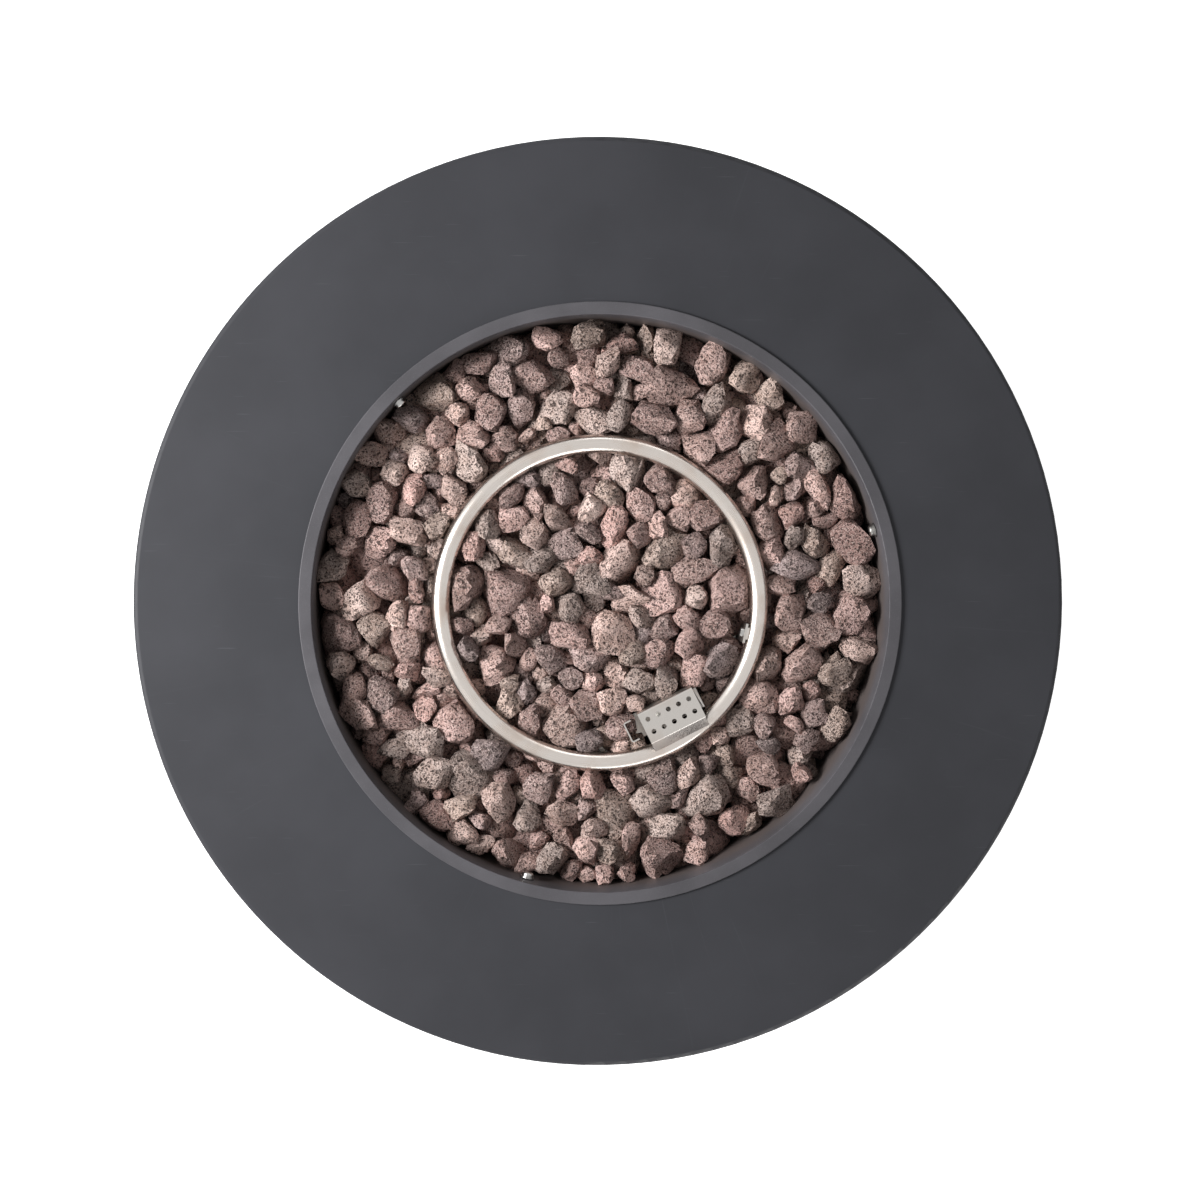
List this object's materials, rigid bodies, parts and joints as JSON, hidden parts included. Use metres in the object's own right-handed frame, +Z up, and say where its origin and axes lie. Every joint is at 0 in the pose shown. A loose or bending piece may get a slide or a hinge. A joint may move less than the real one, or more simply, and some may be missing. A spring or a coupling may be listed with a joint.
{
  "type": "propane fire pit",
  "caption": "Round gas fire pit table with a charcoal deck, recessed steel bowl of lava rock, ring burner with igniter hood, and a drum base with a door to the bottle bay.",
  "frame": {"origin": "centre of the deck's outline, on the floor under the feet", "axes": "+Z up; -Y towards the control panel, +Y towards the bottle door, +X to the right of a user at the panel"},
  "size_m": [0.762, 0.762, 0.6328],
  "materials": {
    "deck_concrete": "smooth matte charcoal",
    "bowl_coating": "fine-grained heat-resistant coating",
    "bright_steel": "bright zinc",
    "stainless": "satin, slightly warm",
    "aluminised_steel": "dull",
    "insert_brass": "turned",
    "ceramic": "unglazed white",
    "lava_rock": "rough and porous",
    "black_steel": "matte powder coat",
    "valve_aluminium": "die cast and drawn",
    "black_plastic": "matte",
    "red_plastic": "matte",
    "foot_rubber": "matte",
    "lead_sleeve": "silicone sleeve"
  },
  "bodies": {
    "pit": {"base_plate": "black_steel", "base_screws": "bright_steel", "bowl_bolts": "bright_steel", "bowl_inserts": "insert_brass", "bowl_washers": "bright_steel", "bracket_screws": "bright_steel", "burner_ring": "stainless", "burner_support_1": "stainless", "burner_support_2": "stainless", "burner_support_3": "stainless", "control_panel": "stainless", "door_magnet": "black_plastic", "drum": "deck_concrete", "electrode_needle": "stainless", "feed_nut": "bright_steel", "fire_bowl": "bowl_coating", "flame_sensor": "stainless", "floor_rivets": "bright_steel", "foot_1": "foot_rubber", "foot_2": "foot_rubber", "foot_3": "foot_rubber", "foot_4": "foot_rubber", "foot_bolts": "bright_steel", "foot_nuts": "bright_steel", "gas_inlet": "insert_brass", "gas_pipe": "valve_aluminium", "gas_valve": "valve_aluminium", "heat_shield": "aluminised_steel", "hinge_leaves": "black_steel", "hinge_pins": "bright_steel", "igniter_barrel": "black_plastic", "igniter_bracket": "stainless", "igniter_hood": "stainless", "igniter_nut": "black_plastic", "ignition_lead": "lead_sleeve", "lava_rocks_lower": "lava_rock", "lava_rocks_upper": "lava_rock", "mixer_tube": "aluminised_steel", "orifice_elbow": "insert_brass", "panel_screws": "bright_steel", "sensor_lead": "lead_sleeve", "shield_screws": "bright_steel", "shield_spacers": "aluminised_steel", "spark_electrode": "ceramic", "support_screw": "bright_steel", "table_top": "deck_concrete", "tank_ring": "black_steel", "top_brackets": "black_steel", "vent_grille_left": "black_steel", "vent_grille_right": "black_steel"},
    "door": {"tank_door": "black_steel", "door_leaves": "black_steel", "door_pull": "black_steel", "pull_nut": "bright_steel", "door_strike": "aluminised_steel"},
    "plunger": {"valve_plunger": "insert_brass"},
    "knob": {"control_knob": "black_plastic", "valve_spindle": "stainless"},
    "button": {"igniter_button": "red_plastic"},
    "shutter": {"air_shutter": "aluminised_steel"}
  },
  "joints": [
    {"name": "door_hinge", "type": "hinge", "parent": "pit", "child": "door", "pos_m": [-0.17829, 0.22986, 0.284], "axis": [0, 0, 1], "range_deg": [0, 110]},
    {"name": "valve_push", "type": "slide", "parent": "pit", "child": "plunger", "axis": [0, 1, 0], "range_m": [0, 0.004], "stiffness_N_per_m": 800},
    {"name": "knob_turn", "type": "hinge", "parent": "plunger", "child": "knob", "pos_m": [-0.032, -0.27, 0.505], "axis": [0, -1, 0], "range_deg": [0, 180]},
    {"name": "button_push", "type": "slide", "parent": "pit", "child": "button", "axis": [0, 1, 0], "range_m": [0, 0.005], "stiffness_N_per_m": 600},
    {"name": "shutter_turn", "type": "hinge", "parent": "pit", "child": "shutter", "pos_m": [0, -0.132, 0.494], "axis": [0, 0, 1], "range_deg": [0, 40]}
  ]
}
